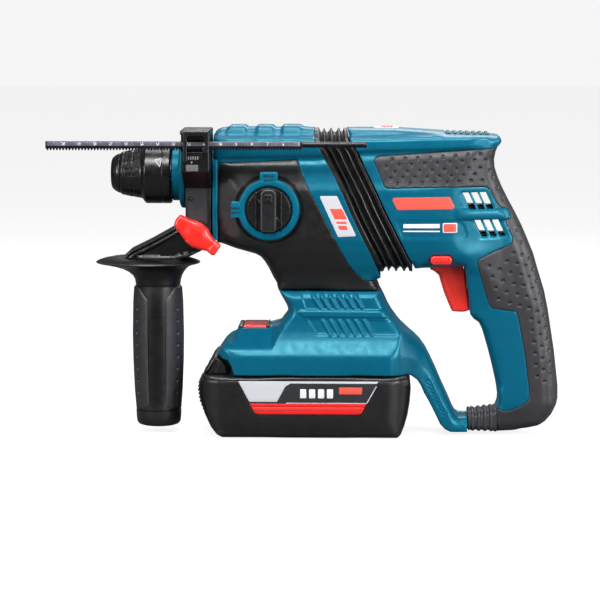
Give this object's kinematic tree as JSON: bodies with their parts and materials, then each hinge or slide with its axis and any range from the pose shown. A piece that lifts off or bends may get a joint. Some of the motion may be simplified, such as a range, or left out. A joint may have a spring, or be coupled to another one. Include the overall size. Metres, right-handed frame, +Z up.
{
  "type": "rotary hammer",
  "caption": "Cordless rotary hammer with a bit holder, swivelling side handle and depth gauge, mode selector, damped D-handle with trigger, and a sliding battery pack.",
  "frame": {"origin": "centre of the tool holder's mouth, on the spindle axis", "axes": "+X from the tool holder towards the rear handle, +Z up, -Y is the side with the mode selector"},
  "size_m": [0.3773, 0.0946, 0.2305],
  "materials": {
    "teal_plastic": "fine matt grain",
    "dark_plastic": "fine matt grain",
    "black_rubber": "dimpled soft grip",
    "red_plastic": "satin",
    "red_lens": "clear",
    "clear_lens": "clear",
    "steel": "ground",
    "black_steel": "blackened",
    "gauge_steel": "zinc plated",
    "aluminium": "cast",
    "copper_iron": "wound core",
    "board": "solder mask",
    "cell_sleeve": "sleeved",
    "wire": "sleeved"
  },
  "bodies": {
    "main_housing": {"gear_housing_left": "dark_plastic", "gear_housing_right": "dark_plastic", "front_shell_left": "teal_plastic", "front_shell_right": "teal_plastic", "base_shell_left": "teal_plastic", "base_shell_right": "teal_plastic", "charge_window": "red_lens", "front_housing_screws": "black_steel", "spindle_collar": "teal_plastic", "spindle_bearings": "steel", "gearbox_plate": "aluminium", "motor_flange": "aluminium", "countershaft_bearings": "steel", "motor_stator": "copper_iron", "motor_bearings": "steel", "motor_end_cap": "aluminium", "motor_leads": "wire", "controller_board": "board", "battery_terminals": "dark_plastic", "selector_ring": "teal_plastic", "bellows": "black_rubber", "lower_joint_boot": "black_rubber"},
    "rear_handle": {"rear_shell_left": "teal_plastic", "rear_shell_right": "teal_plastic", "grip_cover": "black_rubber", "status_lens": "clear_lens", "switch_module": "dark_plastic", "rear_housing_screws": "black_steel", "handle_pivot_pin": "steel"},
    "trigger": {"trigger": "red_plastic"},
    "reverse_switch": {"reverse_switch": "red_plastic"},
    "mode_selector": {"selector_knob": "dark_plastic", "selector_cam": "steel"},
    "selector_button": {"selector_button": "dark_plastic"},
    "spindle": {"tool_holder": "steel", "spindle_gear": "steel", "locking_balls": "steel", "dust_cap": "black_rubber", "sleeve_spring": "steel"},
    "locking_sleeve": {"locking_sleeve": "dark_plastic"},
    "side_handle": {"handle_clamp": "dark_plastic", "side_handle_arm": "dark_plastic", "side_grip_pads": "black_rubber", "clamp_nut": "steel"},
    "wing_bolt": {"wing_bolt": "red_plastic"},
    "depth_gauge": {"depth_gauge": "gauge_steel"},
    "gauge_release": {"gauge_release": "dark_plastic"},
    "battery_pack": {"battery_case_lower": "dark_plastic", "battery_case_upper": "dark_plastic", "battery_cells": "cell_sleeve", "battery_board": "board"},
    "battery_release": {"battery_release": "dark_plastic"},
    "motor_rotor": {"motor_rotor": "steel", "motor_fan": "dark_plastic"},
    "countershaft": {"countershaft": "steel", "countershaft_gear": "steel"},
    "wobble_ring": {"wobble_ring": "steel"},
    "piston": {"piston": "aluminium"},
    "striker": {"striker": "steel"},
    "impact_bolt": {"impact_bolt": "steel"}
  },
  "joints": [
    {"name": "handle_pivot", "type": "hinge", "parent": "main_housing", "child": "rear_handle", "pos_m": [0.272, 0, -0.183], "axis": [0, 1, 0], "range_deg": [-1.6, 0], "stiffness_Nm_per_rad": 400, "deforming": ["bellows", "lower_joint_boot"]},
    {"name": "trigger_slide", "type": "slide", "parent": "rear_handle", "child": "trigger", "axis": [1, 0, 0], "range_m": [0, 0.0065], "stiffness_N_per_m": 800},
    {"name": "reverse_slide", "type": "slide", "parent": "rear_handle", "child": "reverse_switch", "axis": [0, 1, 0], "range_m": [-0.003, 0.003]},
    {"name": "selector_turn", "type": "hinge", "parent": "main_housing", "child": "mode_selector", "pos_m": [0.1146, -0.036, -0.0238], "axis": [0, -1, 0], "range_deg": [-90, 90]},
    {"name": "selector_press", "type": "slide", "parent": "mode_selector", "child": "selector_button", "axis": [0, 1, 0], "range_m": [0, 0.002], "stiffness_N_per_m": 500},
    {"name": "spindle_spin", "type": "hinge", "parent": "main_housing", "child": "spindle", "pos_m": [0, 0, 0], "axis": [1, 0, 0], "continuous": true},
    {"name": "sleeve_slide", "type": "slide", "parent": "spindle", "child": "locking_sleeve", "axis": [1, 0, 0], "range_m": [0, 0.0055], "stiffness_N_per_m": 1500, "deforming": ["sleeve_spring"]},
    {"name": "handle_swivel", "type": "hinge", "parent": "main_housing", "child": "side_handle", "pos_m": [0.062, 0, 0], "axis": [1, 0, 0], "range_deg": [-180, 15]},
    {"name": "wing_turn", "type": "hinge", "parent": "side_handle", "child": "wing_bolt", "pos_m": [0.0615, -0.03, -0.0428], "axis": [0, -1, 0], "range_deg": [0, 540]},
    {"name": "gauge_slide", "type": "slide", "parent": "side_handle", "child": "depth_gauge", "axis": [1, 0, 0], "range_m": [-0.1, 0.085]},
    {"name": "gauge_release_press", "type": "slide", "parent": "side_handle", "child": "gauge_release", "axis": [0, 0, -1], "range_m": [0, 0.0025], "stiffness_N_per_m": 800},
    {"name": "battery_slide", "type": "slide", "parent": "main_housing", "child": "battery_pack", "axis": [-1, 0, 0], "range_m": [0, 0.011]},
    {"name": "battery_release_press", "type": "slide", "parent": "battery_pack", "child": "battery_release", "axis": [1, 0, 0], "range_m": [0, 0.0025], "stiffness_N_per_m": 1000},
    {"name": "motor_spin", "type": "hinge", "parent": "main_housing", "child": "motor_rotor", "pos_m": [0.16, 0, -0.004], "axis": [1, 0, 0], "continuous": true},
    {"name": "countershaft_spin", "type": "hinge", "parent": "main_housing", "child": "countershaft", "pos_m": [0.11, 0, -0.024], "axis": [1, 0, 0], "continuous": true},
    {"name": "wobble_tilt", "type": "hinge", "parent": "main_housing", "child": "wobble_ring", "pos_m": [0.1145, 0, -0.024], "axis": [0, 1, 0], "range_deg": [-13, 13]},
    {"name": "piston_slide", "type": "slide", "parent": "main_housing", "child": "piston", "axis": [1, 0, 0], "range_m": [-0.0056, 0.0056]},
    {"name": "striker_slide", "type": "slide", "parent": "main_housing", "child": "striker", "axis": [1, 0, 0], "range_m": [-0.0022, 0.0018]},
    {"name": "impact_bolt_slide", "type": "slide", "parent": "main_housing", "child": "impact_bolt", "axis": [1, 0, 0], "range_m": [-0.0018, 0.0018]}
  ],
  "couplings": [
    {"joint": "countershaft_spin", "follows": "spindle_spin", "ratio": -3},
    {"joint": "motor_spin", "follows": "spindle_spin", "ratio": 9},
    {"joint": "piston_slide", "follows": "wobble_tilt", "m_per_rad": 0.024}
  ]
}
